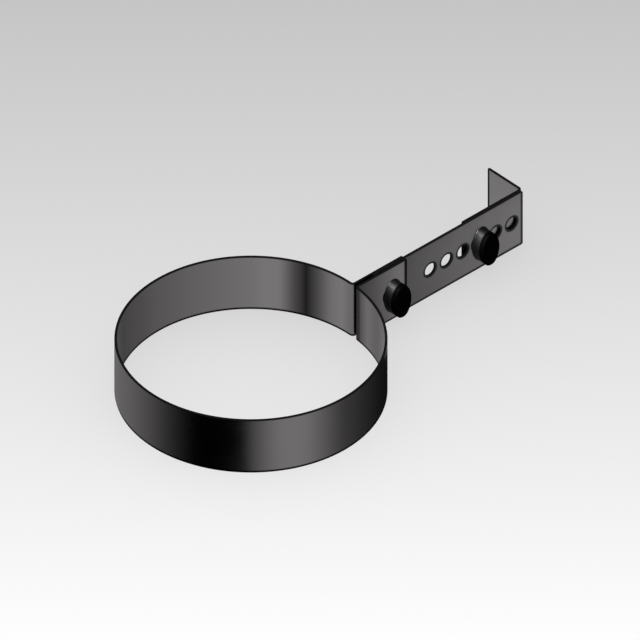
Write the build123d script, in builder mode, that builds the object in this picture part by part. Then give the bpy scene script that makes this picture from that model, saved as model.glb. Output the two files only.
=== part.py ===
"""Adjustable wall collar for a stove pipe: a sheet ring, its strap, its wall bracket and two thumb screws.

Frame: millimetres, +Z up along the pipe, +X from the pipe towards the wall. The origin is on the
pipe's axis at half the height of the ring. Both thumb screws lie along Y, with their knobs at -Y.
"""
from build123d import *

import os
from math import radians, sqrt, tan

# Ring: one strip of sheet, rolled round the pipe, its two ends bent out into ears
pipe_diameter = 150.0
band_sheet = 1.5
bend_radius = 1.0
strip_height = 37.0
seam_offset = 4.0
clamp_reach = 25.0
ear_margin = 12.5

# Strap: a flat bar between the ears, cut from strip of the same height
strap_sheet = 1.5
strap_start_margin = 11.5
clamp_to_row = 31.5
row_count = 6
row_pitch = 12.5
strap_end_margin = 8.5
hole_diameter = 8.0

# Wall bracket: an L of sheet behind the strap
bracket_sheet = 1.5
bracket_row_hole = 4
bracket_margin = 11.0
bracket_reach = 35.0
flange_width = 27.5
wall_hole_diameter = 8.0
wall_hole_reach = 13.0

# Sheared corners of the three sheet pieces, and the play between sheets that slide on each other
corner_radius = 1.0
slide_gap = 0.1

# Thumb screws: an oval moulded knob on a hexagon-headed stud, a washer under it and a nut at the back
thread_diameter = 6.0
thread_clearance = 0.05
stud_tip = 2.2
stud_chamfer = 0.8
head_across_flats = 10.0
head_height = 4.0
head_depth = 1.4
knob_width = 13.8
knob_length = 22.2
knob_end_radius = 5.2
knob_height = 9.0
knob_rim_width = 0.4
knob_rim_height = 1.0
knob_edge_chamfer = 0.6
washer_diameter = 13.0
washer_thickness = 1.2
washer_hole_diameter = 6.4
washer_edge_chamfer = 0.3
nut_across_flats = 10.0
nut_height = 5.0
nut_face_ratio = 0.95
nut_chamfer_angle = 30.0
nut_countersink = 0.5

# The knob's oval is four arcs: the flatter side arcs run smoothly into the two end arcs
knob_half_width = knob_width / 2
knob_end_centre = knob_length / 2 - knob_end_radius
knob_side_radius = (knob_half_width**2 + knob_end_centre**2 - knob_end_radius**2) / (
    2 * (knob_half_width - knob_end_radius)
)

# Planes of the sheets along Y, from the front ear at -Y to the back ear
strap_middle_y = -seam_offset
strap_front_y = strap_middle_y - strap_sheet / 2
strap_back_y = strap_middle_y + strap_sheet / 2
front_ear_inner_y = strap_front_y - slide_gap
front_ear_outer_y = front_ear_inner_y - band_sheet
back_ear_inner_y = strap_back_y + slide_gap
back_ear_outer_y = back_ear_inner_y + band_sheet
leg_front_y = strap_back_y + slide_gap
leg_back_y = leg_front_y + bracket_sheet

# Places along X, from the ring to the wall
bore_radius = pipe_diameter / 2
ring_radius = bore_radius + band_sheet
clamp_x = ring_radius + clamp_reach
ear_end_x = clamp_x + ear_margin
strap_start_x = clamp_x - strap_start_margin
row_start_x = clamp_x + clamp_to_row
row_end_x = row_start_x + (row_count - 1) * row_pitch
strap_end_x = row_end_x + strap_end_margin
bracket_x = row_start_x + (bracket_row_hole - 1) * row_pitch
leg_start_x = bracket_x - bracket_margin
wall_x = bracket_x + bracket_reach

# The wall hole's reach is taken from the bracket's front face, square to the strap
flange_end_y = leg_front_y + flange_width
wall_hole_y = leg_front_y + wall_hole_reach


def across_screws(x: float, y: float) -> Plane:
    """Plane square to the screws at a point: its x runs along X, its y along Z, its z to the front."""
    return Plane(origin=(x, y, 0), x_dir=(1, 0, 0), z_dir=(0, -1, 0))


def along_screws(x: float, y: float) -> Plane:
    """Plane through a screw's axis: its x is the radius along X, its y the height to the front."""
    return Plane(origin=(x, y, 0), x_dir=(1, 0, 0), z_dir=(0, 0, -1))


def screw_axis(x: float, y: float) -> Axis:
    """A screw's axis through a point, pointing to the front."""
    return Axis((x, y, 0), (0, -1, 0))


def make_collar_band() -> Part:
    """The ring and its ears, one strip bent at the seam with concentric inner and outer radii."""
    seam_half = (back_ear_inner_y - front_ear_inner_y) / 2
    ear_centre_x = (bore_radius + ear_end_x) / 2
    ear_length = ear_end_x - bore_radius
    with BuildPart() as band:
        with BuildSketch(Plane.XY.offset(-strip_height / 2)) as plan:
            Circle(ring_radius)
            with Locations((ear_centre_x, strap_middle_y)):
                Rectangle(ear_length, back_ear_outer_y - front_ear_outer_y)
            Circle(bore_radius, mode=Mode.SUBTRACT)
            with Locations((ear_centre_x, strap_middle_y)):
                Rectangle(2 * ear_length, 2 * seam_half, mode=Mode.SUBTRACT)
            outer_bends = plan.vertices().filter_by(
                lambda v: abs(v.Y - strap_middle_y) > seam_half + band_sheet / 2
                and v.X < clamp_x
                and v.X > 0
            )
            fillet(outer_bends, radius=bend_radius)
            inner_bends = plan.vertices().filter_by(
                lambda v: abs(abs(v.Y - strap_middle_y) - seam_half) < band_sheet / 2
                and v.X < clamp_x
                and v.X > 0
            )
            fillet(inner_bends, radius=bend_radius + band_sheet)
        extrude(amount=strip_height)
        ear_corners = band.edges().filter_by(Axis.Y).group_by(Axis.X)[-1]
        fillet(ear_corners, radius=corner_radius)
        with BuildSketch(across_screws(clamp_x, back_ear_outer_y)):
            Circle(hole_diameter / 2)
        extrude(amount=back_ear_outer_y - front_ear_outer_y, mode=Mode.SUBTRACT)
    return band.part


def make_adjusting_strap() -> Part:
    """The flat bar with the clamp hole and the row of adjusting holes."""
    with BuildPart() as strap:
        with BuildSketch(across_screws(0, strap_back_y)):
            with Locations(((strap_start_x + strap_end_x) / 2, 0)):
                RectangleRounded(strap_end_x - strap_start_x, strip_height, corner_radius)
            with Locations((clamp_x, 0)):
                Circle(hole_diameter / 2, mode=Mode.SUBTRACT)
            with Locations(((row_start_x + row_end_x) / 2, 0)):
                with GridLocations(row_pitch, 1, row_count, 1):
                    Circle(hole_diameter / 2, mode=Mode.SUBTRACT)
        extrude(amount=strap_sheet)
    return strap.part


def make_wall_bracket() -> Part:
    """The L: a leg behind the strap and a flange against the wall, joined by a round bend."""
    with BuildPart() as bracket:
        with BuildSketch(Plane.XY.offset(-strip_height / 2)) as section:
            with Locations((leg_start_x, leg_front_y)):
                Rectangle(wall_x - leg_start_x, bracket_sheet, align=Align.MIN)
            with Locations((wall_x - bracket_sheet, leg_front_y)):
                Rectangle(bracket_sheet, flange_width, align=Align.MIN)
            inner_bend = section.vertices().sort_by_distance((wall_x - bracket_sheet, leg_back_y))[0]
            fillet(inner_bend, radius=bend_radius)
            outer_bend = section.vertices().sort_by_distance((wall_x, leg_front_y))[0]
            fillet(outer_bend, radius=bend_radius + bracket_sheet)
        extrude(amount=strip_height)
        leg_corners = bracket.edges().filter_by(Axis.Y).group_by(Axis.X)[0]
        fillet(leg_corners, radius=corner_radius)
        flange_corners = bracket.edges().filter_by(Axis.X).group_by(Axis.Y)[-1]
        fillet(flange_corners, radius=corner_radius)
        with BuildSketch(across_screws(bracket_x, leg_back_y)):
            Circle(hole_diameter / 2)
        extrude(amount=bracket_sheet, mode=Mode.SUBTRACT)
        with BuildSketch(Plane.YZ.offset(wall_x - bracket_sheet)):
            with Locations((wall_hole_y, 0)):
                Circle(wall_hole_diameter / 2)
        extrude(amount=bracket_sheet, mode=Mode.SUBTRACT)
    return bracket.part


def make_washer(x: float, seat_y: float) -> Part:
    """The round washer between a knob and the sheet it clamps."""
    with BuildPart() as washer:
        with BuildSketch(across_screws(x, seat_y)):
            Circle(washer_diameter / 2)
            Circle(washer_hole_diameter / 2, mode=Mode.SUBTRACT)
        extrude(amount=washer_thickness)
        front_rim = washer.edges().group_by(Axis.Y)[0].sort_by(SortBy.RADIUS)[-1]
        chamfer(front_rim, length=washer_edge_chamfer)
    return washer.part


def make_stud(x: float, seat_y: float, nut_y: float) -> Part:
    """The threaded stud: a hexagon head inside the knob and a shank through to past the nut.

    seat_y is the face that the washer stands on, and nut_y the face that the nut stands on.
    """
    head_y = seat_y - washer_thickness - head_depth
    tip_y = nut_y + nut_height + stud_tip
    with BuildPart() as stud:
        with BuildSketch(across_screws(x, head_y)):
            RegularPolygon(head_across_flats / 2, 6, major_radius=False, rotation=90)
        extrude(amount=head_height)
        with BuildSketch(across_screws(x, tip_y)):
            Circle(thread_diameter / 2)
        extrude(amount=tip_y - head_y)
        tip_edge = stud.edges().filter_by(GeomType.CIRCLE).sort_by(Axis.Y)[-1]
        chamfer(tip_edge, length=stud_chamfer)
    return stud.part


def make_knob(x: float, seat_y: float, stud: Part) -> Part:
    """The moulded knob: an upright oval block on a thin rim, moulded round the stud's head."""
    foot_y = seat_y - washer_thickness
    side_centre = knob_side_radius - knob_half_width
    with BuildPart() as knob:
        with BuildSketch(across_screws(x, foot_y)) as outline:
            with Locations((side_centre, 0)):
                Circle(knob_side_radius)
            with Locations((-side_centre, 0)):
                Circle(knob_side_radius, mode=Mode.INTERSECT)
            fillet(outline.vertices(), radius=knob_end_radius)
        extrude(amount=knob_rim_height)
        with BuildSketch(across_screws(x, foot_y)):
            add(outline.sketch_local)
            offset(amount=-knob_rim_width, mode=Mode.REPLACE)
        extrude(amount=knob_height)
        chamfer(knob.edges().group_by(Axis.Y)[0], length=knob_edge_chamfer)
        add(stud, mode=Mode.SUBTRACT)
    return knob.part


def make_nut(x: float, seat_y: float) -> Part:
    """The hexagon nut behind the sheets, its corners chamfered at both faces."""
    corner_reach = nut_across_flats / sqrt(3)
    face_radius = nut_face_ratio * nut_across_flats / 2
    chamfer_height = (corner_reach - face_radius) * tan(radians(nut_chamfer_angle))
    back_y = seat_y + nut_height
    with BuildPart() as nut:
        with BuildSketch(across_screws(x, back_y)):
            RegularPolygon(nut_across_flats / 2, 6, major_radius=False)
        extrude(amount=nut_height)
        with BuildSketch(along_screws(x, back_y)):
            with BuildLine():
                Polyline(
                    (0, 0),
                    (face_radius, 0),
                    (corner_reach, chamfer_height),
                    (corner_reach, nut_height - chamfer_height),
                    (face_radius, nut_height),
                    (0, nut_height),
                    close=True,
                )
            make_face()
        revolve(axis=screw_axis(x, back_y), mode=Mode.INTERSECT)
        with BuildSketch(across_screws(x, back_y)):
            Circle(thread_diameter / 2 + thread_clearance)
        extrude(amount=nut_height, mode=Mode.SUBTRACT)
        bore_rims = nut.edges().filter_by(GeomType.CIRCLE).filter_by(
            lambda e: abs(e.radius - thread_diameter / 2 - thread_clearance) < thread_clearance
        )
        chamfer(bore_rims, length=nut_countersink)
    return nut.part


clamp_stud = make_stud(clamp_x, front_ear_outer_y, back_ear_outer_y)
bracket_stud = make_stud(bracket_x, strap_front_y, leg_back_y)
pieces = {
    "collar_band": make_collar_band(),
    "adjusting_strap": make_adjusting_strap(),
    "wall_bracket": make_wall_bracket(),
    "clamp_washer": make_washer(clamp_x, front_ear_outer_y),
    "clamp_stud": clamp_stud,
    "clamp_knob": make_knob(clamp_x, front_ear_outer_y, clamp_stud),
    "clamp_nut": make_nut(clamp_x, back_ear_outer_y),
    "bracket_washer": make_washer(bracket_x, strap_front_y),
    "bracket_stud": bracket_stud,
    "bracket_knob": make_knob(bracket_x, strap_front_y, bracket_stud),
    "bracket_nut": make_nut(bracket_x, leg_back_y),
}

os.makedirs("parts", exist_ok=True)
for name, piece in pieces.items():
    piece.label = name
    export_step(piece, f"parts/{name}.step")
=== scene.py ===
"""Looks of a wall pipe collar: a sheet ring, its strap, its wall bracket and two thumb screws.

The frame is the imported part's own, in metres: +Z up along the pipe, +X from the pipe to the wall, and
both thumb screws along Y with their knobs at -Y. Every sheet piece is cut, bent and bored as it is
made from strip, and every round piece is turned from its half section.
"""

import logging
from abc import ABC, abstractmethod
from collections.abc import Callable, Sequence
from dataclasses import dataclass
from enum import Enum
from math import atan2, cos, hypot, pi, radians, sin, sqrt, tan

import bpy
from mathutils import Matrix, Vector


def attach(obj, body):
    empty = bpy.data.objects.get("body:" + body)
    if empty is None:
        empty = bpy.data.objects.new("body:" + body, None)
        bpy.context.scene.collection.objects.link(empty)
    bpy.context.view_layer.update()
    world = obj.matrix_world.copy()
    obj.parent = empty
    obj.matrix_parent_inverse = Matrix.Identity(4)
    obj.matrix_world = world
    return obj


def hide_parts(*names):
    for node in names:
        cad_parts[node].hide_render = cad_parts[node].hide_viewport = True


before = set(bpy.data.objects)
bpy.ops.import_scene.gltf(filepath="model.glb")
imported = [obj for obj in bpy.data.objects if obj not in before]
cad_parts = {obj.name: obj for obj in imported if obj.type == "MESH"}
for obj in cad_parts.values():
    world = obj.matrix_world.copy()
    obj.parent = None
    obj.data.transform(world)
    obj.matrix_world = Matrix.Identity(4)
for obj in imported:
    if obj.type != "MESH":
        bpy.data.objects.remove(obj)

LOG = logging.getLogger("wall_pipe_collar")
MM = 0.001
MERGE_DISTANCE = 0.002 * MM

Pair = tuple[float, float]
Triple = tuple[float, float, float]
Socket = bpy.types.NodeSocket
Material = bpy.types.Material
Piece = bpy.types.Object
EdgeTest = Callable[[Vector, Vector], bool]
FaceTest = Callable[[bpy.types.MeshPolygon], bool]


class Slot(Enum):
    """The record's material slots."""

    SHEET = "sheet"
    KNOB = "knob"
    FASTENER = "fastener"


class Cut(Enum):
    """What a tool does to the piece that it meets."""

    AWAY = "DIFFERENCE"
    INSIDE = "INTERSECT"
    JOINED = "UNION"


def deselect_all() -> None:
    """Leaves object mode with nothing selected."""
    if bpy.context.object and bpy.context.object.mode != "OBJECT":
        bpy.ops.object.mode_set(mode="OBJECT")
    bpy.ops.object.select_all(action="DESELECT")


def take(piece: Piece) -> None:
    """Makes one piece the only selected and the active one.

    Args:
        piece: The object to work on.
    """
    deselect_all()
    piece.select_set(True)
    bpy.context.view_layer.objects.active = piece


def edit(piece: Piece, select: str = "SELECT") -> None:
    """Opens a piece in edit mode.

    Args:
        piece: The object to open.
        select: What happens to the selection, as mesh.select_all names it.
    """
    take(piece)
    bpy.ops.object.mode_set(mode="EDIT")
    bpy.ops.mesh.select_mode(type="VERT")
    bpy.ops.mesh.select_all(action=select)


def close_edit() -> None:
    """Goes back to object mode."""
    bpy.ops.object.mode_set(mode="OBJECT")


def settle(piece: Piece) -> None:
    """Brings the object to the origin, unturned and unscaled, its place kept in its mesh."""
    take(piece)
    bpy.ops.object.transform_apply(location=True, rotation=True, scale=True)


def added(name: str, add: Callable[..., set[str]], scale: Triple = (1, 1, 1), **options: object) -> Piece:
    """Adds a plain shape to work from.

    Args:
        name: The name of the object and its mesh.
        add: The operator that adds it.
        scale: How far it is stretched along its own axes.
        options: What the operator takes.

    Returns:
        The object, at the origin, its place kept in its mesh.
    """
    deselect_all()
    add(**options)
    piece = bpy.context.object
    piece.name = name
    piece.data.name = name
    piece.scale = scale
    settle(piece)
    return piece


def start_line(name: str, start: Vector) -> Piece:
    """Starts a piece as one vertex, to be drawn out by extruding it.

    Args:
        name: The piece's name.
        start: Where the vertex stands.

    Returns:
        The object, left in edit mode with its vertex selected.
    """
    piece = added(name, bpy.ops.mesh.primitive_plane_add, size=MM, location=start)
    edit(piece)
    bpy.ops.mesh.merge(type="CENTER")
    return piece


def draw_out(points: Sequence[Vector]) -> None:
    """Extrudes the selected vertex through a row of points.

    Args:
        points: The corners of the line, its start first.
    """
    for start, end in zip(points, points[1:]):
        bpy.ops.mesh.extrude_region_move(TRANSFORM_OT_translate={"value": end - start})


def clean(piece: Piece) -> None:
    """Merges doubled vertices and turns every face outwards.

    Args:
        piece: The object to clean.
    """
    edit(piece)
    bpy.ops.mesh.remove_doubles(threshold=MERGE_DISTANCE)
    bpy.ops.mesh.normals_make_consistent(inside=False)
    close_edit()


def turned(name: str, half_section: Sequence[Pair], steps: int) -> Piece:
    """Turns a half section about the Y axis, as on a lathe.

    Args:
        name: The piece's name.
        half_section: Corners as (radius, y), in metres.
        steps: Facets round the axis.

    Returns:
        The closed piece, on the axis through the origin.
    """
    corners = [Vector((radius, y, 0)) for radius, y in half_section]
    piece = start_line(name, corners[0])
    draw_out(corners)
    bpy.ops.mesh.select_all(action="SELECT")
    bpy.ops.mesh.spin(steps=steps, angle=2 * pi, center=(0, 0, 0), axis=(0, 1, 0))
    close_edit()
    clean(piece)
    return piece


def machine(piece: Piece, tool: Piece, cut: Cut) -> None:
    """Works on a piece with a tool and throws the tool away.

    Args:
        piece: The object to work on.
        tool: The shape that does the work.
        cut: What it does.
    """
    take(piece)
    work = piece.modifiers.new("machine", "BOOLEAN")
    work.operation = cut.value
    work.solver = "EXACT"
    work.object = tool
    bpy.ops.object.modifier_apply(modifier=work.name)
    bpy.data.objects.remove(tool, do_unlink=True)


def drill(piece: Piece, radius: float, start: Triple, end: Triple, sides: int = 64) -> None:
    """Drills a straight round hole.

    Args:
        piece: The object to drill.
        radius: The hole's radius.
        start: The middle of the drill's one end.
        end: The middle of its other end.
        sides: Facets round the hole.
    """
    first, last = Vector(start), Vector(end)
    run = last - first
    tool = added(
        "drill",
        bpy.ops.mesh.primitive_cylinder_add,
        vertices=sides,
        radius=radius,
        depth=run.length,
        location=(first + last) / 2,
        rotation=run.to_track_quat("Z", "Y").to_euler(),
    )
    machine(piece, tool, Cut.AWAY)


def bevel_where(piece: Piece, test: EdgeTest, width: float, steps: int) -> None:
    """Rounds the edges that pass a test.

    Args:
        piece: The object to work on.
        test: Takes an edge's two ends, and says whether it is rounded.
        width: The rounding's width.
        steps: Facets across it.
    """
    edit(piece, "DESELECT")
    bpy.ops.mesh.select_mode(type="EDGE")
    close_edit()
    mesh = piece.data
    for edge in mesh.edges:
        ends = [mesh.vertices[index].co for index in edge.vertices]
        edge.select = test(*ends)
    bpy.ops.object.mode_set(mode="EDIT")
    bpy.ops.mesh.bevel(offset=width, segments=steps, affect="EDGES")
    close_edit()


def break_edges(piece: Piece, width: float, steps: int = 3, angle: float = 35) -> None:
    """Breaks every sharp edge with a small rounding, and shades the piece smooth between them.

    Args:
        piece: The object to finish.
        width: The rounding's width.
        steps: Facets across it.
        angle: Edges sharper than this, in degrees, are rounded.
    """
    take(piece)
    bpy.ops.object.shade_smooth()
    rounding = piece.modifiers.new("edges", "BEVEL")
    rounding.width = width
    rounding.segments = steps
    rounding.limit_method = "ANGLE"
    rounding.angle_limit = radians(angle)
    rounding.harden_normals = False
    bpy.ops.object.modifier_apply(modifier=rounding.name)
    evening = piece.modifiers.new("shading", "WEIGHTED_NORMAL")
    evening.mode = "FACE_AREA"
    evening.weight = 80
    bpy.ops.object.modifier_apply(modifier=evening.name)


def shade(piece: Piece, angle: float) -> None:
    """Shades a piece smooth up to an angle between its faces, in degrees."""
    take(piece)
    bpy.ops.object.shade_smooth_by_angle(angle=radians(angle))


def dress(
    piece: Piece, skin: Material, other: Material | None = None, where: FaceTest | None = None
) -> None:
    """Gives a piece its material, and some of its faces another.

    Args:
        piece: The object to dress.
        skin: The material of the whole piece.
        other: The material of the faces that pass the test.
        where: Takes a face, and says whether it gets the other material.
    """
    piece.data.materials.clear()
    piece.data.materials.append(skin)
    for face in piece.data.polygons:
        face.material_index = 0
    if other is None or where is None:
        return
    piece.data.materials.append(other)
    for face in piece.data.polygons:
        if where(face):
            face.material_index = 1


def mount(piece: Piece, node: str, body: str) -> None:
    """Puts a finished piece in the place of a CAD node.

    Args:
        piece: The finished object.
        node: The CAD node that it stands for.
        body: The moving body that it rides on.
    """
    settle(piece)
    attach(piece, body)
    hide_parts(node)
    LOG.info("%s: %d faces, on %s", piece.name, len(piece.data.polygons), body)


class Nodes:
    """A node tree, with short calls for what the finishes and the studio share."""

    def __init__(self, tree: bpy.types.NodeTree) -> None:
        """Takes over a tree and empties it."""
        self.tree = tree
        self.tree.nodes.clear()

    def add(self, kind: str, operation: str | None = None) -> bpy.types.Node:
        """Adds one node.

        Args:
            kind: Its type, without the first part that all types share.
            operation: What it does, for a node that has a choice.

        Returns:
            The node.
        """
        node = self.tree.nodes.new("ShaderNode" + kind)
        if operation is not None:
            node.operation = operation
        return node

    def link(self, start: Socket, end: Socket) -> None:
        """Links two sockets."""
        self.tree.links.new(start, end)

    def math(self, operation: str, first: Socket, second: Socket) -> Socket:
        """Works out one value from two.

        Args:
            operation: What is done with them.
            first: The first value.
            second: The second value.

        Returns:
            The result.
        """
        node = self.add("Math", operation)
        self.link(first, node.inputs[0])
        self.link(second, node.inputs[1])
        return node.outputs["Value"]

    def vector(self, operation: str, value: Socket, other: Triple) -> bpy.types.Node:
        """Works on a vector with a fixed one.

        Args:
            operation: What is done with them.
            value: The vector.
            other: The fixed vector.

        Returns:
            The node, whose result is its Vector or its Value.
        """
        node = self.add("VectorMath", operation)
        self.link(value, node.inputs[0])
        node.inputs[1].default_value = other
        return node

    def split(self, value: Socket) -> list[Socket]:
        """Splits a vector.

        Args:
            value: The vector.

        Returns:
            Its X, Y and Z.
        """
        node = self.add("SeparateXYZ")
        self.link(value, node.inputs["Vector"])
        return list(node.outputs)

    def ranged(self, value: Socket, start: Pair, end: Pair = (0, 1), smooth: bool = False) -> Socket:
        """Maps a range of a value onto another, and holds it at both ends.

        Args:
            value: The value.
            start: The two ends of its own range, in either order.
            end: What it is mapped onto there.
            smooth: Whether it eases in and out.

        Returns:
            The mapped value.
        """
        node = self.add("MapRange")
        node.interpolation_type = "SMOOTHSTEP" if smooth else "LINEAR"
        for name, number in zip(("From Min", "From Max", "To Min", "To Max"), (*start, *end)):
            node.inputs[name].default_value = number
        self.link(value, node.inputs["Value"])
        return node.outputs["Result"]

    def ramp(self, value: Socket, levels: Sequence[Pair]) -> Socket:
        """Reads a value off a row of greys.

        Args:
            value: The value, from 0 to 1.
            levels: Pairs of a place from 0 to 1, in rising order, and the grey there.

        Returns:
            The grey.
        """
        node = self.add("ValToRGB")
        stops = node.color_ramp.elements
        stops.remove(stops[-1])
        for number, (place, level) in enumerate(levels):
            stop = stops.new(place) if number else stops[0]
            stop.position = place
            stop.color = (level, level, level, 1)
        self.link(value, node.inputs["Fac"])
        return node.outputs["Color"]

    def heading(self, direction: Socket, middle: float) -> tuple[Socket, Socket]:
        """Finds a direction's heading round the Z axis.

        Args:
            direction: The direction.
            middle: The heading, in degrees, that is half way through the turn.

        Returns:
            The heading as a share of the turn, and the direction's part along the middle one.
        """
        turn = self.add("VectorRotate")
        turn.rotation_type = "Z_AXIS"
        turn.inputs["Angle"].default_value = -radians(middle)
        self.link(direction, turn.inputs["Vector"])
        along, across, _ = self.split(turn.outputs["Vector"])
        return self.ranged(self.math("ARCTAN2", across, along), (-pi, pi)), along


class NodeSheet(Nodes):
    """A material's node tree round one Principled shader."""

    def __init__(self, name: str) -> None:
        """Starts a material.

        Args:
            name: The material's name.
        """
        self.material = bpy.data.materials.new(name)
        self.material.use_nodes = True
        super().__init__(self.material.node_tree)
        self.shader = self.add("BsdfPrincipled")
        output = self.add("OutputMaterial")
        self.link(self.shader.outputs["BSDF"], output.inputs["Surface"])
        self.place = self.add("TexCoord").outputs["Object"]

    def feed(self, name: str, value: Socket) -> None:
        """Links a value to one of the shader's inputs."""
        self.link(value, self.shader.inputs[name])

    def fix(self, name: str, value: float | Sequence[float]) -> None:
        """Sets one of the shader's inputs to a number or a colour."""
        self.shader.inputs[name].default_value = value

    def off_axis(self, plane: Triple, axis: Triple) -> Socket:
        """Measures how far a place is off an axis.

        Args:
            plane: 1 for each of the two directions that count, 0 for the axis's own.
            axis: Where the axis stands.

        Returns:
            The distance.
        """
        flat = self.vector("MULTIPLY", self.place, plane)
        return self.vector("DISTANCE", flat.outputs["Vector"], axis).outputs["Value"]

    def noise(self, size: float, detail: float) -> Socket:
        """Adds a noise pattern.

        Args:
            size: The width of one patch, in metres.
            detail: Octaves of finer noise.

        Returns:
            The pattern's value.
        """
        mapping = self.add("Mapping")
        mapping.inputs["Scale"].default_value = [1 / size] * 3
        self.link(self.place, mapping.inputs["Vector"])
        pattern = self.add("TexNoise")
        pattern.inputs["Scale"].default_value = 1
        pattern.inputs["Detail"].default_value = detail
        self.link(mapping.outputs["Vector"], pattern.inputs["Vector"])
        return pattern.outputs["Fac"]

    def spread(self, noise: Socket, low: float = 0, high: float = 1) -> Socket:
        """Maps a noise's middle range, from 0.3 to 0.7, onto two numbers."""
        return self.ranged(noise, (0.3, 0.7), (low, high))

    def blend(self, share: Socket, first: Triple | Socket, second: Triple) -> Socket:
        """Mixes two colours.

        Args:
            share: How much of the second colour there is.
            first: The first colour, fixed or from a node.
            second: The second colour.

        Returns:
            The mixed colour.
        """
        mix = self.add("Mix")
        mix.data_type = "RGBA"
        self.link(share, mix.inputs["Factor"])
        if isinstance(first, Socket):
            self.link(first, mix.inputs[6])
        else:
            mix.inputs[6].default_value = (*first, 1)
        mix.inputs[7].default_value = (*second, 1)
        return mix.outputs[2]

    def bumps(self, *layers: tuple[Socket, float]) -> None:
        """Stacks bump layers on the shader's normal.

        Args:
            layers: Each layer's height, from 0 to 1, and its depth in metres.
        """
        end = self.shader.inputs["Normal"]
        for height, depth in reversed(layers):
            bump = self.add("Bump")
            bump.inputs["Strength"].default_value = 1
            bump.inputs["Distance"].default_value = depth
            self.link(height, bump.inputs["Height"])
            self.link(bump.outputs["Normal"], end)
            end = bump.inputs["Normal"]


@dataclass(frozen=True)
class Shade:
    """Painted shade: a soft darkening of the paint along X, from its start towards higher X.

    It rises over its lip, is deepest up to the near place and has faded at the far one.
    """

    start: float
    near: float
    far: float
    depth: float
    lip: float = 0.6 * MM


@dataclass(frozen=True)
class SheetPaint:
    """Dark metallic paint on rolled sheet: fine flakes and faint orange peel, with painted shade: dark lines
    along its edges, ends and holes, a darker zone round its folds, and a soft darkening along X.

    Each line is a pair of distances off its edge: its painted shade is darkest up to the first, and has
    faded at the second. An end is its axis, its place on it, and the side that it faces.
    """

    name: str = "anthracite_metallic_paint"
    dark: Triple = (0.158, 0.150, 0.152)
    light: Triple = (0.184, 0.175, 0.178)
    roughness: float = 0.21
    metallic: float = 1.0
    rim_gloss: float = 0.35
    painted_shade_colour: Triple = (0.004, 0.004, 0.004)
    half_height: float = 18.5 * MM
    top_line: Pair = (0.4 * MM, 1.0 * MM)
    foot_line: Pair = (1.1 * MM, 2.1 * MM)
    end_line: Pair = (1.0 * MM, 2.3 * MM)
    hole_line: Pair = (1.0 * MM, 1.7 * MM)
    fold_line: Pair = (2.7 * MM, 4.8 * MM)
    fold_shade_depth: float = 0.62
    hole_radius: float = 4 * MM
    ends: tuple[tuple[int, float, int], ...] = ()
    holes: tuple[float, ...] = ()
    folds: tuple[Pair, ...] = ()
    shade: Shade | None = None

    def painted_shade_mask(self, sheet: NodeSheet) -> Socket:
        """Builds the mask of the painted shade: dark lines along the sheet's edges, ends and holes, a darker
        zone round its folds, and the soft darkening along X.

        Args:
            sheet: The material.

        Returns:
            1 where the painted shade is deepest and 0 on the clean paint.
        """
        parts = sheet.split(sheet.place)
        edges = [(2, self.half_height, 1, self.top_line), (2, -self.half_height, -1, self.foot_line)]
        edges += [(*end, self.end_line) for end in self.ends]
        lines = []
        for axis, place, side, (darkest_to, fades_to) in edges:
            fade = (place - side * fades_to, place - side * darkest_to)
            lines.append(sheet.ranged(parts[axis], fade, smooth=True))
        for x in self.holes:
            darkest_to, fades_to = self.hole_line
            fade = (self.hole_radius + fades_to, self.hole_radius + darkest_to)
            lines.append(sheet.ranged(sheet.off_axis((1, 0, 1), (x, 0, 0)), fade, smooth=True))
        for x, y in self.folds:
            off, fade = sheet.off_axis((1, 1, 0), (x, y, 0)), self.fold_line[::-1]
            lines.append(sheet.ranged(off, fade, (0, self.fold_shade_depth), smooth=True))
        if self.shade is not None:
            dark = self.shade
            tail = sheet.ranged(parts[0], (dark.far, dark.near), (0, dark.depth), smooth=True)
            lip = sheet.ranged(parts[0], (dark.start, dark.start + dark.lip), smooth=True)
            lines.append(sheet.math("MULTIPLY", tail, lip))
        mask = lines[0]
        for line in lines[1:]:
            mask = sheet.math("MAXIMUM", mask, line)
        return mask

    def material(self) -> Material:
        """Builds the material.

        Returns:
            The material.
        """
        sheet = NodeSheet(self.name)
        cloud = sheet.noise(14 * MM, 3)
        flake = sheet.noise(0.12 * MM, 1)
        peel = sheet.noise(0.7 * MM, 2)
        paint = sheet.blend(sheet.spread(flake), self.dark, self.light)
        # Painted shade: the flaked paint is blended towards near-black wherever the painted shade mask
        # rises.
        sheet.feed("Base Color", sheet.blend(self.painted_shade_mask(sheet), paint, self.painted_shade_colour))
        sheet.feed("Roughness", sheet.spread(cloud, self.roughness - 0.02, self.roughness + 0.03))
        sheet.fix("Metallic", self.metallic)
        sheet.fix("Specular Tint", (*[self.rim_gloss] * 3, 1))
        sheet.bumps((peel, 0.0012 * MM), (flake, 0.0006 * MM))
        return sheet.material


@dataclass(frozen=True)
class Mottled:
    """A finish whose colour and roughness vary in patches over a fine grain.

    The patch, the sheen and the grain are noises, each a size and its octaves.
    """

    name: str
    dark: Triple
    light: Triple
    roughness: Pair
    patch: Pair
    sheen: Pair
    grain: Pair
    grain_depth: float
    gloss: float = 0.5
    metallic: float = 0

    def material(self) -> Material:
        """Builds the material.

        Returns:
            The material.
        """
        sheet = NodeSheet(self.name)
        patches = sheet.spread(sheet.noise(*self.patch))
        sheet.feed("Base Color", sheet.blend(patches, self.dark, self.light))
        sheet.feed("Roughness", sheet.spread(sheet.noise(*self.sheen), *self.roughness))
        sheet.fix("Specular IOR Level", self.gloss)
        sheet.fix("Metallic", self.metallic)
        sheet.bumps((sheet.noise(*self.grain), self.grain_depth))
        return sheet.material


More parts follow.
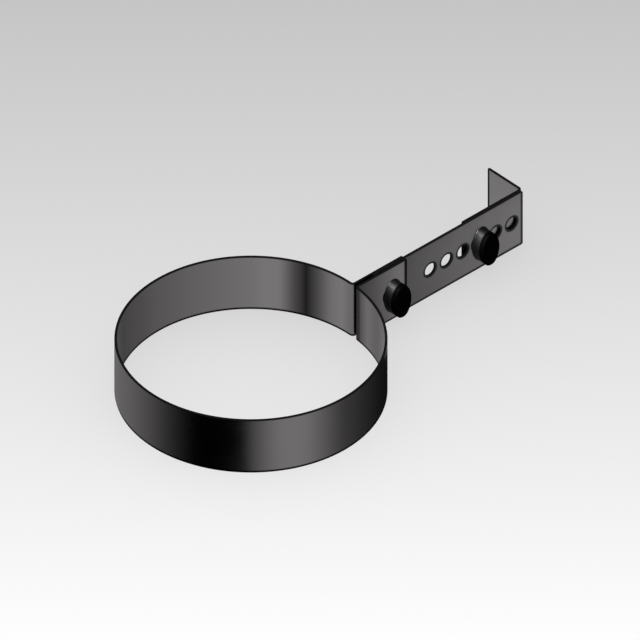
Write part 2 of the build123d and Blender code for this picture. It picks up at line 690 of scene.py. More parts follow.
@dataclass(frozen=True)
class CutEdge(Mottled):
    """The sheared and rounded edge of the sheet and the walls of its holes: near-black and almost without
    gloss, which paints shade on them, with the shear's fine grain.
    """

    name: str = "shade_black_cut_edge"
    dark: Triple = (0.005, 0.0048, 0.005)
    light: Triple = (0.014, 0.013, 0.0135)
    roughness: Pair = (0.69, 0.83)
    patch: Pair = (0.35 * MM, 3)
    sheen: Pair = (0.35 * MM, 3)
    grain: Pair = (0.35 * MM, 3)
    grain_depth: float = 0.004 * MM
    gloss: float = 0.008


@dataclass(frozen=True)
class PolishedPlastic(Mottled):
    """Black moulded plastic, polished on the knob's side."""

    name: str = "polished_black_plastic"
    dark: Triple = (0.002, 0.002, 0.0021)
    light: Triple = (0.004, 0.004, 0.0043)
    roughness: Pair = (0.31, 0.39)
    patch: Pair = (3 * MM, 2)
    sheen: Pair = (0.18 * MM, 2)
    grain: Pair = (0.18 * MM, 2)
    grain_depth: float = 0.0015 * MM
    gloss: float = 0.05


@dataclass(frozen=True)
class MattPlastic(PolishedPlastic):
    """The same plastic at the knob's front, dulled by the mould's spark texture."""

    name: str = "matt_black_plastic"
    dark: Triple = (0.0004, 0.0004, 0.00045)
    light: Triple = (0.0010, 0.0010, 0.0011)
    roughness: Pair = (0.57, 0.65)
    grain_depth: float = 0.004 * MM
    gloss: float = 0.001


@dataclass(frozen=True)
class BlackZinc(Mottled):
    """Black zinc plating on turned and stamped steel."""

    name: str = "black_zinc_plating"
    dark: Triple = (0.075, 0.075, 0.080)
    light: Triple = (0.125, 0.122, 0.125)
    roughness: Pair = (0.27, 0.41)
    patch: Pair = (1.6 * MM, 4)
    sheen: Pair = (1.6 * MM, 4)
    grain: Pair = (0.09 * MM, 1)
    grain_depth: float = 0.001 * MM
    metallic: float = 1


@dataclass(frozen=True)
class Finishes:
    """The materials of the whole part."""

    band_paint: Material
    strap_paint: Material
    bracket_paint: Material
    edge: Material
    knob_side: Material
    knob_face: Material
    zinc: Material

    @classmethod
    def mixed(cls) -> "Finishes":
        """Mixes every material once.

        Returns:
            The materials.
        """
        # Painted shade: dark lines along the band's rims and its ears' ends, a darker zone round the front
        # ear's bend, and the ears darker near the ring, fading towards their ends.
        band_paint = SheetPaint(
            end_line=(1.2 * MM, 3.6 * MM),
            ends=((0, 114 * MM, 1),),
            folds=((77.15 * MM, -7.35 * MM),),
            shade=Shade(start=76.4 * MM, near=68 * MM, far=118 * MM, depth=0.72),
        )
        # Painted shade: the strap's paint darkens towards the ring and fades out towards the wall, with dark
        # lines along its rims, ends and holes.
        strap_paint = SheetPaint(
            name="strap_metallic_paint",
            dark=(0.125, 0.119, 0.121),
            light=(0.147, 0.140, 0.143),
            roughness=0.34,
            metallic=0.65,
            ends=((0, 204 * MM, 1), (0, 90 * MM, -1)),
            holes=tuple(133 * MM + 12.5 * MM * index for index in range(6)),
            shade=Shade(start=80 * MM, near=80 * MM, far=200 * MM, depth=0.45),
        )
        # Painted shade: the bracket's paint is darker than the band's, so the leg reads as shaded behind the
        # strap; it also gets dark lines along its rims and ends.
        bracket_paint = SheetPaint(
            name="bracket_shaded_metallic_paint",
            dark=(0.118, 0.112, 0.114),
            light=(0.138, 0.131, 0.133),
            ends=((0, 159.5 * MM, -1), (1, 24.35 * MM, 1)),
        )
        return cls(
            band_paint=band_paint.material(),
            strap_paint=strap_paint.material(),
            bracket_paint=bracket_paint.material(),
            edge=CutEdge().material(),
            knob_side=PolishedPlastic().material(),
            knob_face=MattPlastic().material(),
            zinc=BlackZinc().material(),
        )


@dataclass
class SheetPiece(ABC):
    """A piece of strip, laid out in the plan, bent about upright axes and bored."""

    node: str
    body: str
    sheet: float = 1.5 * MM
    height: float = 37 * MM
    bend_radius: float = 1 * MM
    bend_steps: int = 10
    hole_radius: float = 4 * MM
    corner_radius: float = 1 * MM
    corner_steps: int = 6
    edge_break: float = 0.7 * MM
    overrun: float = 5 * MM
    slack: float = 0.1 * MM
    level_cosine: float = 0.98

    @abstractmethod
    def shape(self) -> Piece:
        """Cuts and bends the sheet."""

    @abstractmethod
    def drills(self) -> list[tuple[Triple, Triple]]:
        """Lists the drills for the holes, each by its two ends."""

    @abstractmethod
    def is_corner(self, start: Vector, end: Vector) -> bool:
        """Tells the short edges across the sheet at its ends."""

    @abstractmethod
    def is_cut_face(self, face: bpy.types.MeshPolygon) -> bool:
        """Tells the sheared outline and the bored walls."""

    def start(self, x: float, y: float) -> Piece:
        """Stands the strip's end section square to X, as an open outline.

        Args:
            x: Where the section stands.
            y: The middle of its thickness.

        Returns:
            The piece, in edit mode with its outline selected.
        """
        piece = added(
            f"{self.node}_sheet",
            bpy.ops.mesh.primitive_plane_add,
            scale=(self.height, self.sheet, 1),
            size=1,
            location=(x, y, 0),
            rotation=(0, pi / 2, 0),
        )
        edit(piece)
        bpy.ops.mesh.delete(type="ONLY_FACE")
        bpy.ops.mesh.select_all(action="SELECT")
        return piece

    def run(self, x: float, y: float) -> None:
        """Runs the strip straight on by a distance along X and Y."""
        bpy.ops.mesh.extrude_region_move(TRANSFORM_OT_translate={"value": (x, y, 0)})

    def bend(self, centre: Pair, angle: float, steps: int) -> None:
        """Bends the strip about an upright axis.

        Args:
            centre: The axis in the plan.
            angle: The bend, in radians, left-handed turns positive.
            steps: Facets round the bend.
        """
        bpy.ops.mesh.spin(steps=steps, angle=-angle, center=(*centre, 0), axis=(0, 0, 1))

    def close_ends(self, piece: Piece) -> None:
        """Closes both ends of the strip and turns its faces outwards.

        Args:
            piece: The bent strip, in edit mode.
        """
        bpy.ops.mesh.select_all(action="SELECT")
        bpy.ops.mesh.remove_doubles(threshold=MERGE_DISTANCE)
        bpy.ops.mesh.select_mode(type="EDGE")
        bpy.ops.mesh.select_all(action="DESELECT")
        bpy.ops.mesh.select_non_manifold(extend=False)
        bpy.ops.mesh.fill_holes(sides=4)
        close_edit()
        clean(piece)

    def at_hole(self, across: float, up: float) -> bool:
        """Tells a face by a hole, from its place off the hole's axis."""
        return hypot(across, up) < self.hole_radius + self.edge_break + self.slack / 2

    def is_rim(self, face: bpy.types.MeshPolygon) -> bool:
        """Tells the strip's upper and lower edges."""
        return abs(face.normal.z) > 0.1

    def make(self, paint: Material, edge: Material) -> None:
        """Builds the piece, rounds its corners, bores it, breaks its edges and mounts it.

        Args:
            paint: The material of its flat faces.
            edge: The material of its sheared faces.
        """
        piece = self.shape()
        bevel_where(piece, self.is_corner, self.corner_radius, self.corner_steps)
        for start, end in self.drills():
            drill(piece, self.hole_radius, start, end)
        break_edges(piece, self.edge_break)
        dress(piece, paint, edge, self.is_cut_face)
        mount(piece, self.node, self.body)


@dataclass
class CollarBand(SheetPiece):
    """The ring with its two ears, one strip swept from ear end to ear end."""

    node: str = "collar_band"
    body: str = "collar"
    bore_radius: float = 75 * MM
    ring_steps: int = 220
    front_ear_y: float = -5.6 * MM
    back_ear_y: float = -2.4 * MM
    ear_end_x: float = 114 * MM
    clamp_x: float = 101.5 * MM
    overrun: float = 12 * MM

    def bend_centre(self, ear_y: float, side: int) -> Pair:
        """Finds the upright axis of one ear's bend.

        Args:
            ear_y: The middle of the ear's thickness.
            side: 1 for the back ear, -1 for the front one.

        Returns:
            The axis in the plan.
        """
        y = ear_y + side * (self.sheet / 2 + self.bend_radius)
        reach = self.bore_radius + self.sheet + self.bend_radius
        return (sqrt(reach**2 - y**2), y)

    def shape(self) -> Piece:
        """Sweeps the strip: front ear, bend, ring, bend, back ear.

        Returns:
            The closed strip.
        """
        front = self.bend_centre(self.front_ear_y, -1)
        back = self.bend_centre(self.back_ear_y, 1)
        front_angle = atan2(front[1], front[0])
        back_angle = atan2(back[1], back[0])
        piece = self.start(self.ear_end_x, self.front_ear_y)
        self.run(front[0] - self.ear_end_x, 0)
        self.bend(front, pi / 2 + front_angle, self.bend_steps)
        self.bend((0, 0), -(2 * pi + front_angle - back_angle), self.ring_steps)
        self.bend(back, pi / 2 - back_angle, self.bend_steps)
        self.run(self.ear_end_x - back[0], 0)
        self.close_ends(piece)
        return piece

    def drills(self) -> list[tuple[Triple, Triple]]:
        """Lists the one drill that bores both ears."""
        front, back = self.front_ear_y - self.overrun, self.back_ear_y + self.overrun
        return [((self.clamp_x, front, 0), (self.clamp_x, back, 0))]

    def is_corner(self, start: Vector, end: Vector) -> bool:
        """Tells the short edges across the sheet at the ears' ends."""
        across = abs(start.y - end.y) > self.sheet * 0.9 and abs(start.z - end.z) < self.slack
        return across and min(start.x, end.x) > self.ear_end_x - self.slack

    def is_cut_face(self, face: bpy.types.MeshPolygon) -> bool:
        """Tells the rims, the ears' ends and the bored walls.

        Args:
            face: A face of the finished mesh.

        Returns:
            Whether it is sheared or bored.
        """
        if self.is_rim(face):
            return True
        at_end = face.center.x > self.ear_end_x - self.corner_radius - self.edge_break
        at_cut = at_end or self.at_hole(face.center.x - self.clamp_x, face.center.z)
        return at_cut and abs(face.normal.y) < self.level_cosine


@dataclass
class AdjustingStrap(SheetPiece):
    """The flat bar between the ears, with its clamp hole and its row of holes."""

    node: str = "adjusting_strap"
    body: str = "arm"
    start_x: float = 90 * MM
    end_x: float = 204 * MM
    middle_y: float = -4 * MM
    clamp_x: float = 101.5 * MM
    row_start_x: float = 133 * MM
    row_pitch: float = 12.5 * MM
    row_count: int = 6

    def shape(self) -> Piece:
        """Cuts the bar.

        Returns:
            The bar.
        """
        middle = ((self.start_x + self.end_x) / 2, self.middle_y, 0)
        size = (self.end_x - self.start_x, self.sheet, self.height)
        return added(f"{self.node}_sheet", bpy.ops.mesh.primitive_cube_add, size, size=1, location=middle)

    def drills(self) -> list[tuple[Triple, Triple]]:
        """Lists the drills of the clamp hole and of the row.

        Returns:
            The two ends of each.
        """
        row = [self.row_start_x + self.row_pitch * index for index in range(self.row_count)]
        front, back = self.middle_y - self.overrun, self.middle_y + self.overrun
        return [((x, front, 0), (x, back, 0)) for x in (self.clamp_x, *row)]

    def is_corner(self, start: Vector, end: Vector) -> bool:
        """Tells the four short edges across the sheet's thickness."""
        return abs(start.y - end.y) > self.sheet * 0.9

    def is_cut_face(self, face: bpy.types.MeshPolygon) -> bool:
        """Tells the sheared outline and the bored walls."""
        return abs(face.normal.y) < self.level_cosine


@dataclass
class WallBracket(SheetPiece):
    """The L behind the strap's end: a leg along the strap and a flange on the wall."""

    node: str = "wall_bracket"
    body: str = "bracket"
    leg_start_x: float = 159.5 * MM
    leg_y: float = -2.4 * MM
    wall_x: float = 205.5 * MM
    flange_end_y: float = 24.35 * MM
    screw_x: float = 170.5 * MM
    wall_hole_y: float = 9.85 * MM

    def shape(self) -> Piece:
        """Bends the L: leg, bend, flange.

        Returns:
            The closed strip.
        """
        inset = self.sheet + self.bend_radius
        centre = (self.wall_x - inset, self.leg_y + self.sheet / 2 + self.bend_radius)
        piece = self.start(self.leg_start_x, self.leg_y)
        self.run(centre[0] - self.leg_start_x, 0)
        self.bend(centre, pi / 2, self.bend_steps)
        self.run(0, self.flange_end_y - centre[1])
        self.close_ends(piece)
        return piece

    def drills(self) -> list[tuple[Triple, Triple]]:
        """Lists the drills of the screw's hole in the leg and the wall hole in the flange.

        Returns:
            The two ends of each.
        """
        front, back = self.leg_y - self.overrun, self.leg_y + self.overrun
        near, far = self.wall_x - self.overrun - MM, self.wall_x + self.overrun
        return [
            ((self.screw_x, front, 0), (self.screw_x, back, 0)),
            ((near, self.wall_hole_y, 0), (far, self.wall_hole_y, 0)),
        ]

    def is_corner(self, start: Vector, end: Vector) -> bool:
        """Tells the short edges across the sheet at the leg's and the flange's ends.

        Args:
            start: One end of the edge.
            end: Its other end.

        Returns:
            Whether it is one of the four.
        """
        if abs(start.z - end.z) > self.slack:
            return False
        at_leg = max(start.x, end.x) < self.leg_start_x + self.slack
        return at_leg or min(start.y, end.y) > self.flange_end_y - self.slack

    def is_cut_face(self, face: bpy.types.MeshPolygon) -> bool:
        """Tells the rims, the two ends and the bored walls.

        Args:
            face: A face of the finished mesh.

        Returns:
            Whether it is sheared or bored.
        """
        if self.is_rim(face):
            return True
        centre, normal = face.center, face.normal
        margin = self.corner_radius + self.edge_break
        if centre.x < self.wall_x - 5 * MM:
            at_end = centre.x < self.leg_start_x + margin
            at_cut = at_end or self.at_hole(centre.x - self.screw_x, centre.z)
            return at_cut and abs(normal.y) < self.level_cosine
        at_end = centre.y > self.flange_end_y - margin
        at_cut = at_end or self.at_hole(centre.y - self.wall_hole_y, centre.z)
        return at_cut and centre.y > 0 and abs(normal.x) < self.level_cosine


@dataclass
class ThumbScrew:
    """One thumb screw: the knob on its threaded stud, the washer under it and the nut at the back."""

    role: str
    x: float
    seat_y: float
    nut_y: float
    nut_body: str
    knob_width: float = 13.8 * MM
    knob_length: float = 22.2 * MM
    knob_end_radius: float = 5.2 * MM
    knob_height: float = 9 * MM
    knob_rounding: float = 0.75 * MM
    matt_depth: float = 3.4 * MM
    rim_width: float = 0.4 * MM
    rim_height: float = 1 * MM
    rim_step_rounding: float = 0.22 * MM
    rim_foot_rounding: float = 0.12 * MM
    washer_radius: float = 6.5 * MM
    washer_hole: float = 3.2 * MM
    washer_thickness: float = 1.2 * MM
    thread_radius: float = 3 * MM
    thread_depth: float = 0.6 * MM
    thread_pitch: float = 1 * MM
    stud_tip: float = 2.2 * MM
    stud_chamfer: float = 0.8 * MM
    head_flats: float = 10 * MM
    head_height: float = 4 * MM
    head_depth: float = 1.4 * MM
    nut_flats: float = 10 * MM
    nut_height: float = 5 * MM
    nut_face_share: float = 0.95
    nut_sink: float = 0.5 * MM
    nut_clearance: float = 0.05 * MM
    nut_edge_break: float = 0.07 * MM

    def knob_foot_y(self) -> float:
        """Gives the plane that the knob stands on."""
        return self.seat_y - self.washer_thickness

    def place(self, piece: Piece, part: str, body: str, slot: Slot) -> None:
        """Stands a piece on the screw's axis and mounts it, its image kept out of the satin sheets.

        Args:
            piece: The finished piece, on the axis through the origin.
            part: The last part of its CAD node's name.
            body: The moving body that it rides on.
            slot: Its material slot; not used.
        """
        piece.location.x = self.x
        piece.visible_glossy = False
        mount(piece, f"{self.role}_{part}", body)

    def hexagon(self, name: str, flats: float, near_y: float, far_y: float, turn: float = 0) -> Piece:
        """Cuts a length of hexagon bar.

        Args:
            name: The piece's name.
            flats: The distance across the flats.
            near_y: The bar's end at the front.
            far_y: The bar's end at the back.
            turn: How far it is turned from having two corners on the Z axis, in radians.

        Returns:
            The bar, on the axis through the origin.
        """
        return added(
            name,
            bpy.ops.mesh.primitive_cylinder_add,
            vertices=6,
            radius=flats / sqrt(3),
            depth=far_y - near_y,
            location=(0, (near_y + far_y) / 2, 0),
            rotation=(pi / 2, turn, 0),
        )

    def head(self, name: str) -> Piece:
        """Cuts the stud's hexagon head, which the knob's pocket fits."""
        back = self.knob_foot_y() - self.head_depth
        return self.hexagon(name, self.head_flats, back - self.head_height, back)

    def oval(self, inset: float, y: float) -> list[Vector]:
        """Lays out the knob's outline: two end arcs that run into two flatter side arcs.

        Args:
            inset: How far the outline lies inside the rim's.
            y: The plane that it lies in.

        Returns:
            The outline's corners in order, on the axis through the origin.
        """
        half = self.knob_width / 2
        end = self.knob_end_radius
        end_z = self.knob_length / 2 - end
        side = (half**2 + end_z**2 - end**2) / (2 * (half - end))
        side_x = side - half
        meet = atan2(end_z, side_x)
        corners = []
        for middle, centre, radius, reach, steps in (
            (0, (-side_x, 0), side, meet, 12),
            (pi / 2, (0, end_z), end, pi / 2 - meet, 20),
            (pi, (side_x, 0), side, meet, 12),
            (3 * pi / 2, (0, -end_z), end, pi / 2 - meet, 20),
        ):
            for step in range(steps):
                angle = middle - reach + 2 * reach * step / steps
                x = centre[0] + (radius - inset) * cos(angle)
                z = centre[1] + (radius - inset) * sin(angle)
                corners.append(Vector((x, y, z)))
        return corners

    def raise_oval(self, name: str, inset: float, levels: Sequence[float]) -> Piece:
        """Draws the oval and raises it to a block.

        Args:
            name: The block's name.
            inset: How far it stands inside the rim.
            levels: Its foot, any level at which its finish changes, and its face.

        Returns:
            The closed block.
        """
        corners = self.oval(inset, levels[0])
        block = start_line(name, corners[0])
        draw_out(corners)
        bpy.ops.mesh.select_all(action="SELECT")
        bpy.ops.mesh.edge_face_add()
        for low, high in zip(levels, levels[1:]):
            bpy.ops.mesh.extrude_region_move(TRANSFORM_OT_translate={"value": (0, high - low, 0)})
        close_edit()
        clean(block)
        return block

    def is_level_edge(self, y: float) -> EdgeTest:
        """Makes a test for edges that lie in a plane square to the screw."""
        return lambda start, end: max(abs(start.y - y), abs(end.y - y)) < 0.01 * MM

    def make_knob(self, finishes: Finishes) -> None:
        """Moulds the oval knob on its thin rim, its edges rounded, with the pocket for the stud's head.

        Args:
            finishes: The part's materials.
        """
        foot = self.knob_foot_y()
        face = foot - self.knob_height
        step = foot - self.rim_height
        matt = face + self.matt_depth
        sunk = foot - 0.2 * MM
        knob = self.raise_oval(f"{self.role}_knob_moulding", self.rim_width, (sunk, matt, face))
        bevel_where(knob, self.is_level_edge(face), self.knob_rounding, 5)
        rim = self.raise_oval("rim", 0, (foot, step))
        bevel_where(rim, self.is_level_edge(step), self.rim_step_rounding, 3)
        bevel_where(rim, self.is_level_edge(foot), self.rim_foot_rounding, 2)
        machine(knob, rim, Cut.JOINED)
        machine(knob, self.head("pocket"), Cut.AWAY)
        drill(knob, self.thread_radius, (0, foot - self.head_depth - MM, 0), (0, foot + MM, 0), 48)
        shade(knob, 30)
        dress(knob, finishes.knob_side, finishes.knob_face, lambda side: side.center.y < matt)
        self.place(knob, "knob", f"{self.role}_screw", Slot.KNOB)

    def make_washer(self, finishes: Finishes) -> None:
        """Turns the washer, its front rim rounded over by the punch.

        Args:
            finishes: The part's materials.
        """
        front, back = self.knob_foot_y(), self.seat_y
        outer, inner = self.washer_radius, self.washer_hole
        section = [
            (inner, back - 0.1 * MM),
            (inner + 0.1 * MM, back),
            (outer - 0.08 * MM, back),
            (outer, back - 0.08 * MM),
            (outer, front + 0.34 * MM),
            (outer - 0.05 * MM, front + 0.17 * MM),
            (outer - 0.16 * MM, front + 0.05 * MM),
            (outer - 0.32 * MM, front),
            (inner + 0.15 * MM, front),
            (inner, front + 0.15 * MM),
            (inner, back - 0.1 * MM),
        ]
        washer = turned(f"{self.role}_washer_disc", section, 96)
        shade(washer, 40)
        dress(washer, finishes.zinc)
        self.place(washer, "washer", f"{self.role}_washer_slider", Slot.FASTENER)

    def make_thread(self, near_y: float, far_y: float) -> Piece:
        """Cuts a threaded rod between two planes.

        Args:
            near_y: The rod's end at the front.
            far_y: The rod's end at the back.

        Returns:
            The rod, on the axis through the origin.
        """
        pitch, crest = self.thread_pitch, self.thread_radius
        root = crest - self.thread_depth
        start = near_y - pitch
        profile = [(root, 0.0), (root, 0.10), (crest, 0.44), (crest, 0.56), (root, 0.90), (root, 1.0)]
        corners = [Vector((radius, start + share * pitch, 0)) for radius, share in profile]
        thread = start_line(f"{self.role}_stud_thread", corners[0])
        draw_out(corners)
        close_edit()
        winding = thread.modifiers.new("winding", "SCREW")
        winding.axis = "Y"
        winding.screw_offset = pitch
        winding.iterations = int((far_y - near_y) / pitch) + 3
        winding.steps = 36
        winding.render_steps = 36
        winding.use_merge_vertices = True
        winding.merge_threshold = MERGE_DISTANCE
        take(thread)
        bpy.ops.object.modifier_apply(modifier=winding.name)
        for place, side in ((near_y, 1), (far_y, -1)):
            edit(thread)
            bpy.ops.mesh.remove_doubles(threshold=MERGE_DISTANCE)
            bpy.ops.mesh.bisect(
                plane_co=(0, place, 0),
                plane_no=(0, side, 0),
                use_fill=True,
                clear_inner=True,
                clear_outer=False,
            )
            close_edit()
        clean(thread)
        return thread

    def make_stud(self, finishes: Finishes) -> None:
        """Cuts the threaded stud, points its tip and joins its hexagon head.

        Args:
            finishes: The part's materials.
        """
        head_back = self.knob_foot_y() - self.head_depth
        tip = self.nut_y + self.nut_height + self.stud_tip
        crest, chamfer = self.thread_radius, self.stud_chamfer
        stud = self.make_thread(head_back - 0.5 * MM, tip)
        section = [
            (0, head_back - MM),
            (crest + MM, head_back - MM),
            (crest + MM, tip - chamfer - MM),
            (crest - chamfer, tip),
            (0, tip),
        ]
        machine(stud, turned("point", section, 48), Cut.INSIDE)
        machine(stud, self.head("head"), Cut.JOINED)
        shade(stud, 40)
        dress(stud, finishes.zinc)
        self.place(stud, "stud", f"{self.role}_screw", Slot.FASTENER)

    def make_nut(self, finishes: Finishes) -> None:
        """Cuts the hexagon nut, chamfers its corners and countersinks its bore.

        Args:
            finishes: The part's materials.
        """
        near, far = self.nut_y, self.nut_y + self.nut_height
        corner = self.nut_flats / sqrt(3)
        face = self.nut_face_share * self.nut_flats / 2
        drop = (corner - face) * tan(radians(30))
        over = corner + MM
        spare = drop * (over - face) / (corner - face)
        chamfer = [(0, near), (face, near), (over, near + spare), (over, far - spare), (face, far), (0, far)]
        nut = self.hexagon(f"{self.role}_nut_hexagon", self.nut_flats, near, far, pi / 6)
        machine(nut, turned("chamfer_tool", chamfer, 72), Cut.INSIDE)
        bore, sink = self.thread_radius + self.nut_clearance, self.nut_sink
        wide = bore + sink + MM
        countersunk = [
            (0, near - MM),
            (wide, near - MM),
            (bore, near + sink),
            (bore, far - sink),
            (wide, far + MM),
            (0, far + MM),
        ]
        machine(nut, turned("bore_tool", countersunk, 48), Cut.AWAY)
        break_edges(nut, self.nut_edge_break, 2, 25)
        dress(nut, finishes.zinc)
        self.place(nut, "nut", self.nut_body, Slot.FASTENER)

    def make(self, finishes: Finishes) -> None:
        """Builds and mounts the whole thumb screw.

        Args:
            finishes: The part's materials.
        """
        self.make_knob(finishes)
        self.make_washer(finishes)
        self.make_stud(finishes)
        self.make_nut(finishes)


def linear(level: float) -> float:
    """Turns a display grey from 0 to 255 into the amount of light that shows it."""
    share = level / 255
    return share / 12.92 if share <= 0.04045 else ((share + 0.055) / 1.055) ** 2.4


def around(levels: Sequence[Pair]) -> list[Pair]:
    """Turns headings from -180 to 180 degrees into shares of a turn."""
    return [((offset + 180) / 360, level) for offset, level in levels]


@dataclass
class Studio:
    """The camera, the pale floor, the surround that the metal mirrors, and one soft lamp.

    The screens pair a heading off the camera's side, in degrees, with a level. The inner disc pairs a
    share of the way from the camera's left to its right with one. The floor pairs a share of its run,
    from its near end to its far one, with a display grey. A card is its name, its lowest and its
    highest corner in the plan, its level at its low and at its high end along X, and its height.
    """

    azimuth: float = 46.9
    elevation: float = 37.2
    view_width: float = 0.3583
    shift_right: float = 38.66 * MM
    shift_up: float = 24.66 * MM
    camera_distance: float = 1.2
    floor_z: float = -18.5 * MM
    floor_run: Pair = (-0.231, 0.3615)
    floor_greys: tuple[Pair, ...] = ((0.0, 254), (0.25, 240), (0.5, 226), (0.75, 211.5), (1.0, 197))
    edge_greys: Pair = (254, 216)
    lit_share: float = 0.2
    bore_radius: float = 75 * MM
    disc_gap: float = 0.1 * MM
    disc_height: float = 0.02 * MM
    disc_levels: tuple[Pair, ...] = ((0.0, 0.30), (0.35, 0.50), (0.5, 0.85), (0.7, 0.95), (1.0, 0.90))
    screen_gap: float = 1 * MM
    screen_foot: float = 14 * MM
    inner_screens: tuple[Pair, ...] = (
        (-180, 0.75), (-140, 0.45), (-110, 0.70), (-72, 1.45), (-65, 1.35), (-59, 1.32),
        (-54, 0.62), (-48, 0.84), (-42, 1.13), (-36, 0.94), (-30, 0.43), (-24, 0.07),
        (-18, 0.41), (-12, 1.05), (-6, 1.06), (0, 0.94), (18, 0.76), (36, 0.61),
        (54, 0.53), (66, 0.68), (80, 0.60), (110, 0.55), (140, 0.35), (180, 0.75),
    )
    outer_screens: tuple[Pair, ...] = (
        (-180, 0.05), (-168, 0.30), (-156, 1.02), (-144, 1.50), (-132, 1.32), (-120, 0.86),
        (-108, 0.60), (-96, 0.42), (-84, 0.25), (-72, 0.12), (-60, 0.04), (-50, 0.0),
        (-11, 0.0), (-5, 0.04), (0, 0.26), (12, 0.62), (24, 0.90), (36, 0.95),
        (48, 0.91), (60, 0.64), (72, 0.42), (84, 0.22), (96, 0.20), (108, 0.14),
        (120, 0.13), (132, 0.10), (144, 0.075), (156, 0.03), (168, 0.01), (180, 0.02),
    )
    screens_fade: Pair = (-0.2, 0.1)
    screens_share: Pair = (1, 0.4)
    cards: tuple[tuple[str, Pair, Pair, Pair, float], ...] = (
        ("strap_card", (88 * MM, -50 * MM), (262 * MM, 0), (0.78, 1.68), 0.04 * MM),
        ("flange_card", (150 * MM, -1 * MM), (204 * MM, 80 * MM), (1.42, 1.66), 0.06 * MM),
    )
    lamp_size: Pair = (0.30, 0.90)
    lamp_energy: float = 700
    lamp_aim: Triple = (0.135, -0.012, 0.004)
    lamp_side: Triple = (-0.74, 0.08, 0.58)
    lamp_distance: float = 0.8

    def axes(self) -> tuple[Vector, Vector, Vector]:
        """Gives the view's directions.

        Returns:
            Right, up and forward.
        """
        a, e = radians(self.azimuth), radians(self.elevation)
        right = Vector((sin(a), -cos(a), 0))
        forward = Vector((cos(a) * cos(e), sin(a) * cos(e), -sin(e)))
        return right, right.cross(forward), forward

    def make_camera(self) -> None:
        """Sets up the camera, a parallel projection as in the picture."""
        right, up, forward = self.axes()
        deselect_all()
        bpy.ops.object.camera_add()
        camera = bpy.context.object
        camera.name = "picture_camera"
        camera.data.type = "ORTHO"
        camera.data.ortho_scale = self.view_width
        camera.data.clip_start = 0.01
        camera.data.clip_end = 20
        centre = right * self.shift_right + up * self.shift_up
        turn = Matrix((right, up, -forward)).transposed()
        camera.matrix_world = Matrix.Translation(centre - forward * self.camera_distance) @ turn.to_4x4()
        bpy.context.scene.camera = camera

    def disc(self, name: str, radius: float, z: float) -> Piece:
        """Lays a flat disc round the ring's axis."""
        add = bpy.ops.mesh.primitive_circle_add
        return added(name, add, vertices=96, radius=radius, fill_type="NGON", location=(0, 0, z))

    def make_floor(self) -> None:
        """Lays the pale floor, greyer towards the back, which shows its shade but isn't mirrored."""
        floor = self.disc("floor", 6, self.floor_z)
        floor.data.materials.append(self.floor_material())
        floor.visible_glossy = False

    def floor_material(self) -> Material:
        """Builds the floor's even grey, from white near the camera to light grey far off.

        Returns:
            The material, of which a part is lit and the rest shines of itself for the camera.
        """
        sheet = NodeSheet("pale_floor")
        a = radians(self.azimuth)
        along = sheet.vector("DOT_PRODUCT", sheet.place, (cos(a), sin(a), 0)).outputs["Value"]
        greys = [(place, linear(level)) for place, level in self.floor_greys]
        grey = sheet.ramp(sheet.ranged(along, self.floor_run), greys)
        lit = sheet.add("VectorMath", "SCALE")
        lit.inputs["Scale"].default_value = self.lit_share
        sheet.link(grey, lit.inputs[0])
        seen = sheet.add("LightPath").outputs["Is Camera Ray"]
        sheet.feed("Base Color", lit.outputs["Vector"])
        sheet.feed("Emission Color", grey)
        sheet.feed("Emission Strength", sheet.ranged(seen, (0, 1), (0, 1 - self.lit_share)))
        sheet.fix("Roughness", 1)
        sheet.fix("Specular IOR Level", 0)
        sheet.material.cycles.emission_sampling = "NONE"
        return sheet.material

    def make_world(self) -> None:
        """Sets the surround: even white light for matt surfaces, tall dark and light screens for gloss.

        Beyond the floor's edge the camera sees a grey near the floor's own at each heading.
        """
        world = bpy.data.worlds.new("studio_surround")
        bpy.context.scene.world = world
        world.use_nodes = True
        world.cycles.sampling_method = "NONE"
        nodes = Nodes(world.node_tree)
        direction = nodes.add("TexCoord").outputs["Generated"]
        share, along = nodes.heading(direction, self.azimuth + 180)
        screens = nodes.ramp(share, around(self.outer_screens))
        up = nodes.split(direction)[2]
        height = nodes.ranged(up, self.screens_fade, self.screens_share, smooth=True)
        path = nodes.add("LightPath")
        near, far = self.edge_greys
        floor_grey = nodes.ranged(along, (-1, 1), (linear(near), linear(far)))
        seen = nodes.ranged(path.outputs["Is Camera Ray"], (0, 1), (1, 1))
        nodes.link(floor_grey, seen.node.inputs["To Max"])
        choice = nodes.add("Mix")
        choice.data_type = "FLOAT"
        nodes.link(path.outputs["Is Glossy Ray"], choice.inputs["Factor"])
        nodes.link(seen, choice.inputs[2])
        nodes.link(nodes.math("MULTIPLY", screens, height), choice.inputs[3])
        light = nodes.add("Background")
        nodes.link(choice.outputs[0], light.inputs["Color"])
        nodes.link(light.outputs["Background"], nodes.add("OutputWorld").inputs["Surface"])

    def light_up(self, card: Piece, sheet: NodeSheet, level: Socket) -> None:
        """Makes a card shine and reflect nothing, seen by mirrored rays alone.

        Args:
            card: The card.
            sheet: Its material.
            level: How bright it is.
        """
        sheet.fix("Base Color", (0, 0, 0, 1))
        sheet.fix("Specular IOR Level", 0)
        sheet.feed("Emission Color", level)
        sheet.fix("Emission Strength", 1)
        sheet.material.cycles.emission_sampling = "NONE"
        card.data.materials.append(sheet.material)
        card.visible_camera = False
        card.visible_diffuse = False
        card.visible_shadow = False
        card.visible_transmission = False
        card.visible_volume_scatter = False

    def make_inner_disc(self) -> None:
        """Lays the ring's inner floor of light, dimmer to the camera's left."""
        disc = self.disc("inner_disc", self.bore_radius - self.disc_gap, self.floor_z + self.disc_height)
        sheet = NodeSheet("inner_disc_light")
        a = radians(self.azimuth)
        across = sheet.vector("DOT_PRODUCT", sheet.place, (sin(a), -cos(a), 0)).outputs["Value"]
        share = sheet.ranged(across, (-self.bore_radius, self.bore_radius))
        self.light_up(disc, sheet, sheet.ramp(share, self.disc_levels))

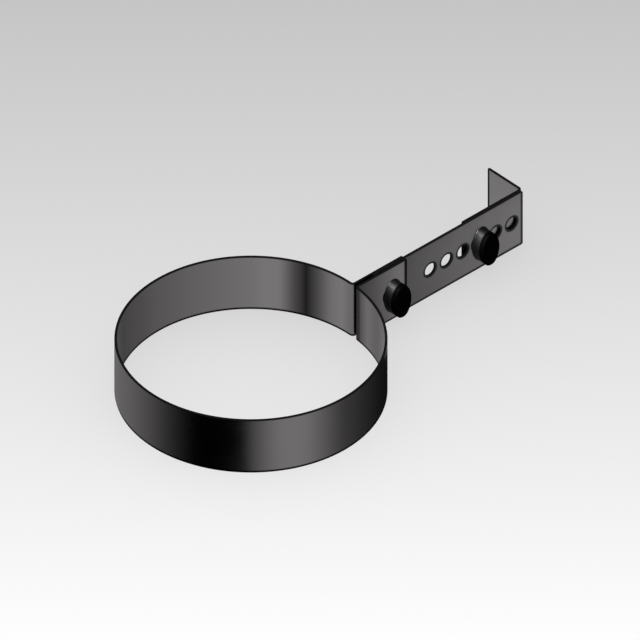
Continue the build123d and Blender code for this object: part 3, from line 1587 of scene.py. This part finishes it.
    def make_inner_screen(self) -> None:
        """Stands a round screen just inside the ring, seen by its polished inside only."""
        low, high = self.floor_z - self.screen_foot, -self.floor_z
        screen = added(
            "inner_screen",
            bpy.ops.mesh.primitive_cylinder_add,
            vertices=256,
            radius=self.bore_radius - self.screen_gap,
            depth=high - low,
            end_fill_type="NOTHING",
            location=(0, 0, (low + high) / 2),
        )
        sheet = NodeSheet("inner_screen_light")
        share, _ = sheet.heading(sheet.place, self.azimuth)
        self.light_up(screen, sheet, sheet.ramp(share, around(self.inner_screens)))

    def make_card(self, name: str, low: Pair, high: Pair, levels: Pair, height: float) -> None:
        """Lays a light card on the floor.

        Args:
            name: The card's name.
            low: Its lowest corner in the plan.
            high: Its highest corner in the plan.
            levels: Its level at its low and at its high end along X.
            height: Its height over the floor.
        """
        card = added(
            name,
            bpy.ops.mesh.primitive_plane_add,
            scale=(high[0] - low[0], high[1] - low[1], 1),
            size=1,
            location=((low[0] + high[0]) / 2, (low[1] + high[1]) / 2, self.floor_z + height),
        )
        sheet = NodeSheet(name + "_light")
        level = sheet.ranged(sheet.split(sheet.place)[0], (low[0], high[0]), levels)
        self.light_up(card, sheet, level)

    def make_lamp(self, lit_pieces: Sequence[str]) -> None:
        """Hangs the soft lamp that lights a few pieces from the upper left.

        Args:
            lit_pieces: The names of the pieces that it lights.
        """
        deselect_all()
        bpy.ops.object.light_add(type="AREA")
        lamp = bpy.context.object
        lamp.name = "soft_lamp"
        lamp.data.shape = "RECTANGLE"
        lamp.data.size, lamp.data.size_y = self.lamp_size
        lamp.data.energy = self.lamp_energy
        side = Vector(self.lamp_side).normalized()
        place = Vector(self.lamp_aim) + side * self.lamp_distance
        lamp.matrix_world = Matrix.Translation(place) @ side.to_track_quat("Z", "Y").to_matrix().to_4x4()
        lamp.visible_diffuse = False
        lamp.visible_camera = False
        lit = bpy.data.collections.new("lit_by_the_lamp")
        for name in lit_pieces:
            lit.objects.link(bpy.data.objects[name])
        lamp.light_linking.receiver_collection = lit

    def make(self) -> None:
        """Sets up the whole studio but the lamp, which waits for the pieces that it lights."""
        self.make_camera()
        self.make_floor()
        self.make_world()
        self.make_inner_disc()
        self.make_inner_screen()
        for card in self.cards:
            self.make_card(*card)
        bpy.context.scene.view_settings.view_transform = "Standard"


def main() -> None:
    """Builds every piece of the part in its studio."""
    logging.basicConfig(level=logging.INFO, format="%(message)s")
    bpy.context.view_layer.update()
    for leftover in ("Cube", "Light", "Camera"):
        if leftover in bpy.data.objects:
            bpy.data.objects.remove(bpy.data.objects[leftover], do_unlink=True)
    finishes = Finishes.mixed()
    studio = Studio()
    studio.make()
    CollarBand().make(finishes.band_paint, finishes.edge)
    AdjustingStrap().make(finishes.strap_paint, finishes.edge)
    WallBracket().make(finishes.bracket_paint, finishes.edge)
    ThumbScrew("clamp", 101.5 * MM, -6.35 * MM, -1.65 * MM, "collar").make(finishes)
    ThumbScrew("bracket", 170.5 * MM, -4.75 * MM, -1.65 * MM, "bracket").make(finishes)
    studio.make_lamp(["clamp_knob_moulding", "bracket_knob_moulding"])


if __name__ == "__main__":
    main()
